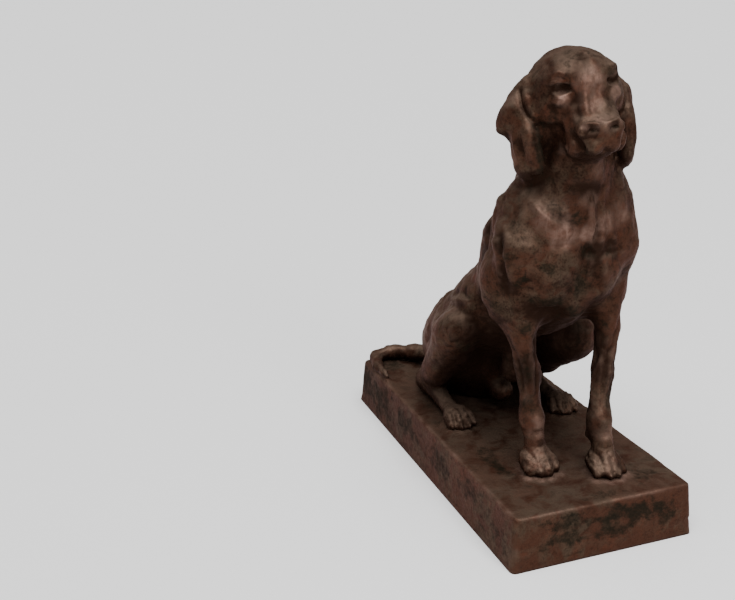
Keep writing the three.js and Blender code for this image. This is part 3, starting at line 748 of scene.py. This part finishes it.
class HOUND_OT_hound(bpy.types.Operator):
    """Models the hound's relief over its solid and gives it weathered iron with painted shade and painted highlights
    """

    bl_idname = "hound.make_hound"
    bl_label = "Make the Hound"
    bl_options = {"REGISTER", "UNDO"}

    def execute(self, context):
        settings = context.scene.hound_casting
        hound = clothe_hound()
        mesh = hound.data
        clay = Clay(mesh, settings.relief)
        free = smoothstep(PLINTH_TOP + 3, PLINTH_TOP + 10, clay.at[:, 2])
        seated = clay.at[:, 2] < PLINTH_TOP + 1.5
        floor_level = clay.at[:, 2].copy()
        clay.relax(0.5 * free, 3)
        clay.feel()
        shape_body(clay)
        shape_haunches(clay)
        shape_legs(clay)
        shape_ears(clay)
        shape_face(clay)
        shape_paws(clay)
        clay.relax(0.35 * free, 1)
        clay.feel()
        height = settings.rough * 1000
        pressed = 2.6 * dabs(clay.at, 34, 41) + 2.0 * dabs(clay.at, 17, 57) + 1.4
        head = smoothstep(PLINTH_TOP + 500, PLINTH_TOP + 540, clay.at[:, 2])
        low = smoothstep(PLINTH_TOP + 200, PLINTH_TOP + 90, clay.at[:, 2])
        feet = smoothstep(PLINTH_TOP + 64, PLINTH_TOP + 30, clay.at[:, 2])
        skin = noise(clay.at, 26, 1) + 0.9 * noise(clay.at, 11, 2) + 0.7 * noise(clay.at, 5, 5)
        pitted = 2.6 * noise(clay.at, 8, 8) + 1.6 * noise(clay.at, 4, 10)
        skin += pressed * (1 - 0.6 * head) * (1 - 0.5 * low) + feet * pitted
        clay.at += clay.normal * (skin * height * free)[:, None]
        clay.at[:, 2] = np.where(seated, floor_level, np.maximum(clay.at[:, 2], PLINTH_TOP + 0.3))
        clay.keep()
        weather(mesh, clay, HOUND_STAINS, HOUND_RUBBED_AND_LIT, HOUND_DARKENED)
        for face in mesh.polygons:
            face.use_smooth = True
        mesh.materials.clear()
        iron = context.scene.hound_iron
        mesh.materials.append(iron_material("hound_iron", iron, 1.0, 0.0, (70, 70, 24), 0.7, 0.86))
        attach(hound, "root")
        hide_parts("hound")
        return {"FINISHED"}


PLINTH_STAINS = [
    # front
    ((-70, -352, 72), (64, 30, 20), 1.0),
    ((50, -352, 68), (90, 30, 24), 1.1),
    ((-80, -352, 42), (50, 30, 18), 1.0),
    ((20, -352, 42), (60, 30, 18), 0.9),
    ((110, -352, 50), (34, 30, 26), 0.9),
    # top
    ((-112, -190, 94), (18, 64, 20), 1.1),
    ((-100, -120, 94), (36, 20, 20), 0.8),
    ((-20, -190, 94), (26, 34, 20), 0.6),
    ((110, -290, 94), (30, 40, 20), 0.7),
    ((10, -325, 94), (60, 14, 20), 0.6),
    ((96, -210, 94), (24, 40, 20), 0.5),
    ((-120, 60, 94), (24, 80, 20), 0.5),
    ((-120, 300, 94), (40, 40, 20), 0.8),
    # sides and back
    ((-170, -280, 40), (30, 60, 22), 0.6),
    ((-170, -190, 60), (30, 60, 26), 0.7),
    ((-170, -60, 50), (30, 70, 28), 0.8),
    ((-170, 90, 52), (30, 80, 34), 0.9),
    ((-170, 230, 50), (30, 80, 40), 1.0),
    ((-170, 330, 50), (30, 60, 50), 1.1),
    ((170, -200, 50), (30, 70, 30), 0.6),
    ((170, 60, 50), (30, 90, 34), 0.7),
    ((170, 260, 44), (30, 80, 34), 0.8),
    ((60, 352, 50), (70, 30, 30), 0.8),
    ((-80, 352, 44), (70, 30, 30), 0.8),
]


class HOUND_OT_plinth(bpy.types.Operator):
    """Models the plinth with its uneven cast top and the fillets round the hound's feet"""

    bl_idname = "hound.make_plinth"
    bl_label = "Make the Plinth"
    bl_options = {"REGISTER", "UNDO"}

    def execute(self, context):
        settings = context.scene.hound_plinth
        low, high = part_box("plinth")
        work = bmesh.new()
        bmesh.ops.create_cube(work, size=1.0)
        block = Matrix.Translation((low + high) / 2) @ Matrix.Diagonal((high - low).to_4d())
        bmesh.ops.transform(work, verts=work.verts, matrix=block)
        for v in work.verts:
            if v.co.z > high.z / 2:
                v.co.x -= math.copysign(settings.draft, v.co.x)
                v.co.y -= math.copysign(settings.draft, v.co.y)
        upright = [e for e in work.edges if abs(e.verts[0].co.z - e.verts[1].co.z) > 0.01]
        bmesh.ops.bevel(
            work, geom=upright, offset=settings.corner, segments=4, profile=0.5, affect="EDGES", material=-1
        )
        top = [e for e in work.edges if all(v.co.z > high.z - 1e-5 for v in e.verts)]
        bmesh.ops.bevel(
            work, geom=top, offset=settings.edge, segments=3, profile=0.5, affect="EDGES", material=-1
        )
        for axis in range(3):
            count = int((high[axis] - low[axis]) / settings.grain)
            normal = Vector([float(i == axis) for i in range(3)])
            for step in range(1, count):
                at = low.copy()
                at[axis] += (high[axis] - low[axis]) * step / count
                everything = work.verts[:] + work.edges[:] + work.faces[:]
                bmesh.ops.bisect_plane(work, geom=everything, dist=1e-6, plane_co=at, plane_no=normal)
        bmesh.ops.recalc_face_normals(work, faces=work.faces)
        mesh = bpy.data.meshes.new("plinth_casting")
        work.to_mesh(mesh)
        work.free()
        plinth = bpy.data.objects.new("plinth_casting", mesh)
        context.scene.collection.objects.link(plinth)

        clay = Clay(mesh)
        flat = clay.at.copy()
        height = settings.rough * 1000
        waves = noise(flat, 70, 11) + 0.5 * noise(flat, 24, 12) + 0.25 * noise(flat, 9, 13) - 0.5
        off_foot = smoothstep(2, 14, flat[:, 2])
        clay.at += clay.normal * (waves * height * off_foot)[:, None]
        to_edge = self.edge_distance(flat, low, high)
        nicks = smoothstep(0.35, 0.8, noise(flat, 16, 14)) * smoothstep(9, 2, to_edge)
        clay.at -= clay.normal * (nicks * 1.4 * off_foot)[:, None]

        on_top = flat[:, 2] > PLINTH_TOP - 0.5
        distance = self.contact_distance(flat)
        fillet = np.exp(-((distance / 5.0) ** 2)) * settings.weld * 1000
        mound = np.exp(-((distance / 17.0) ** 2)) * 1.6 * (1 + 0.5 * noise(flat, 20, 15))
        clay.at[on_top, 2] += (fillet + mound)[on_top]
        clay.at[:, 2] = np.maximum(clay.at[:, 2], low.z * 1000)
        clay.keep()

        # painted shade where the hound hides the sky, weaker than on the hound
        weather(mesh, clay, PLINTH_STAINS, depth=0.7)
        near_edge = smoothstep(7, 1.5, to_edge)
        raised = np.empty(len(mesh.vertices), np.float32)
        mesh.attributes["raised"].data.foreach_get("value", raised)
        upper = 0.25 + 0.55 * smoothstep(-30, -6, flat[:, 2] - PLINTH_TOP)
        rubbed = near_edge * (0.5 + 0.5 * noise(flat, 18, 16)) * upper
        rims = 0.8 * np.exp(-(((distance - 6) / 5.0) ** 2)) * on_top * smoothstep(-120, -200, flat[:, 1])
        paint(mesh, "raised", np.clip(raised * 0.6 + rubbed + rims, 0, 1.2))
        sunk_and_shaded = np.empty(len(mesh.vertices), np.float32)
        mesh.attributes["sunk_and_shaded"].data.foreach_get("value", sunk_and_shaded)
        # darker towards the back, less so on top
        paint(mesh, "sunk_and_shaded", sunk_and_shaded + 0.6 * smoothstep(-200, 300, flat[:, 1]) * (1 - 0.6 * on_top))
        for face in mesh.polygons:
            face.use_smooth = True
        iron = context.scene.hound_iron
        mesh.materials.append(iron_material("plinth_iron", iron, 1.2, 3.0, (22, 26, 80), 0.42, 0.55))
        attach(plinth, "root")
        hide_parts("plinth")
        return {"FINISHED"}

    @staticmethod
    def edge_distance(at, low, high):
        """Distance from the edges round the plinth's top and its upright corners, in millimetres."""
        side_x = np.minimum(at[:, 0] - low.x * 1000, high.x * 1000 - at[:, 0])
        side_y = np.minimum(at[:, 1] - low.y * 1000, high.y * 1000 - at[:, 1])
        above = high.z * 1000 - at[:, 2]
        gaps = np.sort(np.stack([side_x - 7, side_y - 7, above]), axis=0)
        return np.hypot(np.maximum(gaps[0], 0), np.maximum(gaps[1], 0))

    @staticmethod
    def contact_distance(at):
        """Distance from the outline of what the hound stands on, in millimetres."""
        hound = bpy.data.objects["hound_casting"].data
        foot = [v.co for v in hound.vertices if v.co.z * 1000 < PLINTH_TOP + 4]
        tree = KDTree(len(foot))
        for i, co in enumerate(foot):
            tree.insert((co.x * 1000, co.y * 1000, 0), i)
        tree.balance()
        distance = np.full(len(at), 99.0)
        for i in np.flatnonzero(at[:, 2] > PLINTH_TOP - 0.5):
            distance[i] = tree.find((at[i, 0], at[i, 1], 0))[2]
        return distance


# Weathered iron, with painted shade and painted highlights


def socket(group, way, name, kind="NodeSocketFloat", default=None):
    made = group.interface.new_socket(name=name, in_out=way, socket_type=kind)
    if default is not None:
        made.default_value = default
    return made


def math_node(tree, kind, a, b=None, clamp=False):
    node = tree.nodes.new("ShaderNodeMath")
    node.operation = kind
    node.use_clamp = clamp
    for i, value in enumerate((a, b)):
        if value is None:
            continue
        if isinstance(value, (int, float)):
            node.inputs[i].default_value = value
        else:
            tree.links.new(value, node.inputs[i])
    return node.outputs[0]


def weighed(tree, *terms):
    """The sum of values, each times its weight."""
    total = None
    for value, weight in terms:
        scaled = value if weight == 1 else math_node(tree, "MULTIPLY", value, weight)
        total = scaled if total is None else math_node(tree, "ADD", total, scaled)
    return total


def noise_node(tree, vector, scale, detail=4.0, rough=0.55, distortion=0.0):
    node = tree.nodes.new("ShaderNodeTexNoise")
    node.inputs["Scale"].default_value = scale
    node.inputs["Detail"].default_value = detail
    node.inputs["Roughness"].default_value = rough
    node.inputs["Distortion"].default_value = distortion
    tree.links.new(vector, node.inputs["Vector"])
    return node.outputs["Fac"]


def ramp(tree, value, low, high):
    node = tree.nodes.new("ShaderNodeMapRange")
    node.interpolation_type = "SMOOTHSTEP"
    node.inputs["From Min"].default_value = low
    node.inputs["From Max"].default_value = high
    tree.links.new(value, node.inputs["Value"])
    return node.outputs["Result"]


def mix_colour(tree, factor, a, b, kind="MIX"):
    node = tree.nodes.new("ShaderNodeMix")
    node.data_type = "RGBA"
    node.blend_type = kind
    for name, value in (("Factor", factor), ("A", a), ("B", b)):
        target = next(s for s in node.inputs if s.name == name and s.enabled)
        if hasattr(value, "is_output"):
            tree.links.new(value, target)
        elif isinstance(value, (int, float)):
            target.default_value = value
        else:
            target.default_value = (*value, 1.0)
    return next(s for s in node.outputs if s.enabled)


def patina_group():
    """Masks of a weathered casting: broad darker patches with painted shade, rust, rubbed places with painted
    highlights, stains and speckle.
    """
    found = bpy.data.node_groups.get("iron_patina")
    if found:
        return found
    group = bpy.data.node_groups.new("iron_patina", "ShaderNodeTree")
    socket(group, "INPUT", "Vector", "NodeSocketVector")
    socket(group, "INPUT", "Drag", "NodeSocketVector")
    for name in ("Raised", "Sunk and Shaded", "Stain", "Up", "Occlusion Shade"):
        socket(group, "INPUT", name)
    for name in ("Shade", "Rust", "Olive", "Rubbed and Lit", "Stained", "Dusty"):
        socket(group, "OUTPUT", name)
    start = group.nodes.new("NodeGroupInput")
    end = group.nodes.new("NodeGroupOutput")
    at = start.outputs["Vector"]
    broad = noise_node(group, at, 10, 4, 0.55, 0.3)
    patch = noise_node(group, at, 27, 5, 0.6, 0.5)
    mottle = noise_node(group, at, 95, 5, 0.62, 0.4)
    speckle = noise_node(group, at, 300, 3, 0.6)
    streak = noise_node(group, start.outputs["Drag"], 1, 6, 0.66, 0.6)

    # painted shade in hollows, on what faces down and where the sky is hidden, with broad darker patches, mottle and
    # speckle
    shade = weighed(
        group,
        (ramp(group, broad, 0.46, 0.66), 0.4),
        (start.outputs["Sunk and Shaded"], 0.9),
        (start.outputs["Occlusion Shade"], 1.5),
        (ramp(group, mottle, 0.47, 0.64), 0.5),
        (ramp(group, speckle, 0.48, 0.64), 0.42),
    )
    olive = math_node(group, "MULTIPLY", ramp(group, patch, 0.40, 0.58), ramp(group, broad, 0.38, 0.56))
    group.links.new(olive, end.inputs["Olive"])
    group.links.new(shade, end.inputs["Shade"])

    rust = math_node(group, "MULTIPLY", ramp(group, patch, 0.48, 0.66), ramp(group, broad, 0.62, 0.44))
    group.links.new(rust, end.inputs["Rust"])

    # rubbed places with painted highlights, broken up by mottle, streaks and speckle
    broken = weighed(
        group, (ramp(group, mottle, 0.36, 0.66), 0.5), (ramp(group, streak, 0.36, 0.62), 0.35), (speckle, 0.5)
    )
    worn = math_node(group, "MULTIPLY", start.outputs["Raised"], broken, clamp=True)
    group.links.new(worn, end.inputs["Rubbed and Lit"])

    loose = math_node(group, "MULTIPLY", ramp(group, streak, 0.52, 0.66), ramp(group, patch, 0.46, 0.60))
    old = start.outputs["Stain"]
    drift = weighed(group, (old, 0.9), (mottle, 1.2), (speckle, 0.7), (streak, 1.2), (patch, 0.5))
    drift = math_node(group, "SUBTRACT", drift, 1.95)
    soaked = math_node(group, "MULTIPLY", ramp(group, drift, -0.15, 1.05), ramp(group, old, 0.0, 0.5))
    stained = math_node(group, "MAXIMUM", math_node(group, "MULTIPLY", loose, 0.55), soaked)
    group.links.new(stained, end.inputs["Stained"])

    upward = ramp(group, start.outputs["Up"], 0.15, 0.9)
    dusty = math_node(group, "MULTIPLY", upward, ramp(group, patch, 0.26, 0.60))
    group.links.new(dusty, end.inputs["Dusty"])
    return group


def casting_skin_group():
    """The height of the sand-cast skin: fine grain, pits and soft dabs."""
    found = bpy.data.node_groups.get("casting_skin")
    if found:
        return found
    group = bpy.data.node_groups.new("casting_skin", "ShaderNodeTree")
    socket(group, "INPUT", "Vector", "NodeSocketVector")
    socket(group, "OUTPUT", "Height")
    socket(group, "OUTPUT", "Grain")
    start = group.nodes.new("NodeGroupInput")
    end = group.nodes.new("NodeGroupOutput")
    at = start.outputs["Vector"]
    grain = noise_node(group, at, 620, 3, 0.6)
    dabs = noise_node(group, at, 95, 5, 0.6, 0.3)
    pits = group.nodes.new("ShaderNodeTexVoronoi")
    pits.inputs["Scale"].default_value = 230
    group.links.new(at, pits.inputs["Vector"])
    holes = ramp(group, pits.outputs["Distance"], 0.0, 0.34)
    height = weighed(group, (grain, 0.22), (dabs, 0.9), (holes, 0.16))
    group.links.new(height, end.inputs["Height"])
    group.links.new(grain, end.inputs["Grain"])
    return group


# the painted shade and the painted highlights reach the material through these attributes
PAINTED = {"Raised": "raised", "Sunk and Shaded": "sunk_and_shaded", "Stain": "stain", "Up": "facing_up", "Occlusion Shade": "occlusion_shade"}


def iron_material(name, iron, bumps, seed, drag, dust, dark):
    """Weathered iron; drag is how closely the streaks lie along X, Y and Z.

    Dust is how much pale dust lies on top, and dark how deep the shade is.
    """
    material = bpy.data.materials.new(name)
    material.use_nodes = True
    tree = material.node_tree
    shader = next(n for n in tree.nodes if n.type == "BSDF_PRINCIPLED")
    place = tree.nodes.new("ShaderNodeTexCoord")
    shift = tree.nodes.new("ShaderNodeMapping")
    shift.inputs["Location"].default_value = (seed, seed * 0.7, seed * 1.3)
    tree.links.new(place.outputs["Object"], shift.inputs["Vector"])

    def painted(attribute):
        node = tree.nodes.new("ShaderNodeAttribute")
        node.attribute_name = attribute
        return node.outputs["Fac"]

    patina = tree.nodes.new("ShaderNodeGroup")
    patina.node_tree = patina_group()
    tree.links.new(shift.outputs["Vector"], patina.inputs["Vector"])
    along = tree.nodes.new("ShaderNodeMapping")
    along.inputs["Scale"].default_value = drag
    tree.links.new(shift.outputs["Vector"], along.inputs["Vector"])
    tree.links.new(along.outputs["Vector"], patina.inputs["Drag"])
    for socket_name, attribute in PAINTED.items():
        tree.links.new(painted(attribute), patina.inputs[socket_name])
    skin = tree.nodes.new("ShaderNodeGroup")
    skin.node_tree = casting_skin_group()
    tree.links.new(shift.outputs["Vector"], skin.inputs["Vector"])

    mask = patina.outputs
    tint = iron.brown
    # the shade layer paints shade, and the rubbed layer paints highlights as well as wear
    for layer, strength, colour_of_layer in (
        ("Olive", 0.8, iron.olive),
        ("Rust", 0.6, iron.rust),
        ("Shade", dark, iron.shade),
        ("Dusty", dust, iron.dust),
        ("Rubbed and Lit", 0.75, iron.rubbed),
        ("Stained", 0.95, iron.stain),
    ):
        tint = mix_colour(tree, math_node(tree, "MULTIPLY", mask[layer], strength), tint, colour_of_layer)
    tree.links.new(tint, shader.inputs["Base Color"])

    gloss = math_node(tree, "ADD", 0.39, math_node(tree, "MULTIPLY", skin.outputs["Grain"], 0.16))
    gloss = math_node(tree, "ADD", gloss, math_node(tree, "MULTIPLY", mask["Stained"], 0.16))
    gloss = math_node(tree, "ADD", gloss, math_node(tree, "MULTIPLY", mask["Shade"], 0.12))
    gloss = math_node(tree, "SUBTRACT", gloss, math_node(tree, "MULTIPLY", mask["Rubbed and Lit"], 0.14), clamp=True)
    tree.links.new(gloss, shader.inputs["Roughness"])
    shader.inputs["Metallic"].default_value = 0.5
    shader.inputs["IOR"].default_value = 1.3
    shader.inputs["Specular IOR Level"].default_value = 0.42
    shader.inputs["Specular Tint"].default_value = (0.60, 0.38, 0.28, 1)

    bump = tree.nodes.new("ShaderNodeBump")
    bump.inputs["Strength"].default_value = 0.8
    bump.inputs["Distance"].default_value = 0.0012 * bumps
    tree.links.new(skin.outputs["Height"], bump.inputs["Height"])
    tree.links.new(bump.outputs["Normal"], shader.inputs["Normal"])
    return material


# the places of the lights and what they point at, and the camera's place and turn, in metres
KEY_AT = (-0.35, -0.75, 3.0)
WINDOW_AT = (0.25, -1.9, 1.5)
CHEST = Vector((0, -0.1, 0.4))
CAMERA_AT = (-0.84619, -1.52293, 0.93009)
CAMERA_RIGHT = Vector((0.937756, -0.347282, -0.003058))
CAMERA_UP = Vector((0.117524, 0.309037, 0.943761))


class HOUND_OT_stage(bpy.types.Operator):
    """Sets the floor, the soft lights and the camera"""

    bl_idname = "hound.set_stage"
    bl_label = "Set the Stage"
    bl_options = {"REGISTER", "UNDO"}

    def execute(self, context):
        settings = context.scene.hound_stage
        work = bmesh.new()
        bmesh.ops.create_grid(work, x_segments=2, y_segments=2, size=60)
        mesh = bpy.data.meshes.new("floor")
        work.to_mesh(mesh)
        work.free()
        floor = bpy.data.objects.new("floor", mesh)
        context.scene.collection.objects.link(floor)
        paper = bpy.data.materials.new("studio_paper")
        paper.use_nodes = True
        shader = next(n for n in paper.node_tree.nodes if n.type == "BSDF_PRINCIPLED")
        shader.inputs["Base Color"].default_value = (*settings.floor, 1)
        shader.inputs["Roughness"].default_value = 0.9
        mesh.materials.append(paper)

        world = bpy.data.worlds.new("studio")
        context.scene.world = world
        world.use_nodes = True
        background = next(n for n in world.node_tree.nodes if n.type == "BACKGROUND")
        background.inputs["Color"].default_value = (1, 1, 1, 1)
        background.inputs["Strength"].default_value = settings.sky

        key = bpy.data.lights.new("key", "SUN")
        key.energy = settings.key
        key.angle = settings.spread
        self.aim("key", key, KEY_AT)
        window = bpy.data.lights.new("window", "AREA")
        window.shape = "DISK"
        window.size = 0.7
        window.energy = settings.fill
        self.aim("window", window, WINDOW_AT)

        camera = bpy.data.cameras.new("camera")
        camera.lens = settings.lens
        camera.sensor_width = 36
        eye = bpy.data.objects.new("camera", camera)
        context.scene.collection.objects.link(eye)
        turn = Matrix((CAMERA_RIGHT, CAMERA_UP, CAMERA_RIGHT.cross(CAMERA_UP))).transposed().to_4x4()
        eye.matrix_world = Matrix.Translation(CAMERA_AT) @ turn
        context.scene.camera = eye
        return {"FINISHED"}

    @staticmethod
    def aim(name, lamp, at):
        """Hangs a light at a place, turned towards the hound's chest."""
        thing = bpy.data.objects.new(name, lamp)
        bpy.context.scene.collection.objects.link(thing)
        thing.location = at
        thing.rotation_euler = (CHEST - Vector(at)).to_track_quat("-Z", "Y").to_euler()


class HOUND_PT_panel(bpy.types.Panel):
    """The hound's pieces and their settings"""

    bl_idname = "HOUND_PT_panel"
    bl_label = "Cast Iron Hound"
    bl_space_type = "VIEW_3D"
    bl_region_type = "UI"
    bl_category = "Hound"

    def draw(self, context):
        for group, operator in (
            ("hound_casting", "hound.make_hound"),
            ("hound_plinth", "hound.make_plinth"),
            ("hound_iron", None),
            ("hound_stage", "hound.set_stage"),
        ):
            box = self.layout.box()
            settings = getattr(context.scene, group)
            for name in settings.__annotations__:
                box.prop(settings, name)
            if operator:
                box.operator(operator)


GROUPS = {
    "hound_casting": HoundSettings,
    "hound_plinth": PlinthSettings,
    "hound_iron": IronSettings,
    "hound_stage": StageSettings,
}
CLASSES = (*GROUPS.values(), HOUND_OT_hound, HOUND_OT_plinth, HOUND_OT_stage, HOUND_PT_panel)


def register():
    for item in CLASSES:
        bpy.utils.register_class(item)
    for name, group in GROUPS.items():
        setattr(bpy.types.Scene, name, bpy.props.PointerProperty(type=group))


def unregister():
    for name in GROUPS:
        delattr(bpy.types.Scene, name)
    for item in reversed(CLASSES):
        bpy.utils.unregister_class(item)


def main():
    register()
    bpy.ops.hound.make_hound()
    bpy.ops.hound.make_plinth()
    bpy.ops.hound.set_stage()


if __name__ == "__main__":
    main()
